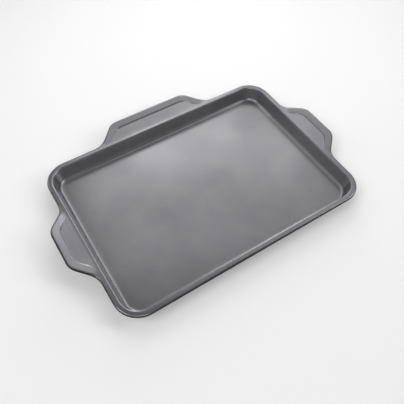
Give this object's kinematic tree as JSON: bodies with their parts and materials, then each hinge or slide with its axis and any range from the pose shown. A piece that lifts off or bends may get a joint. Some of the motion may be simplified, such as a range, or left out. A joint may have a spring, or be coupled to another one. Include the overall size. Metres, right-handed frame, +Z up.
{
  "type": "jelly roll pan",
  "caption": "Shallow rectangular nonstick baking pan with drafted walls, a wired rolled rim and wide flat handles that rise from the rim.",
  "frame": {"origin": "centre of the floor's flat underside, where the pan stands", "axes": "+X along the pan, from handle to handle; +Y towards the long side with a handle; +Z up, out of the pan's mouth"},
  "size_m": [0.453, 0.3118, 0.029],
  "materials": {
    "nonstick_coating": "satin dark grey nonstick coat on pressed steel",
    "wire_steel": "drawn steel wire"
  },
  "bodies": {
    "root": {"pan_sheet": "nonstick_coating", "rim_wire": "wire_steel"}
  },
  "joints": []
}
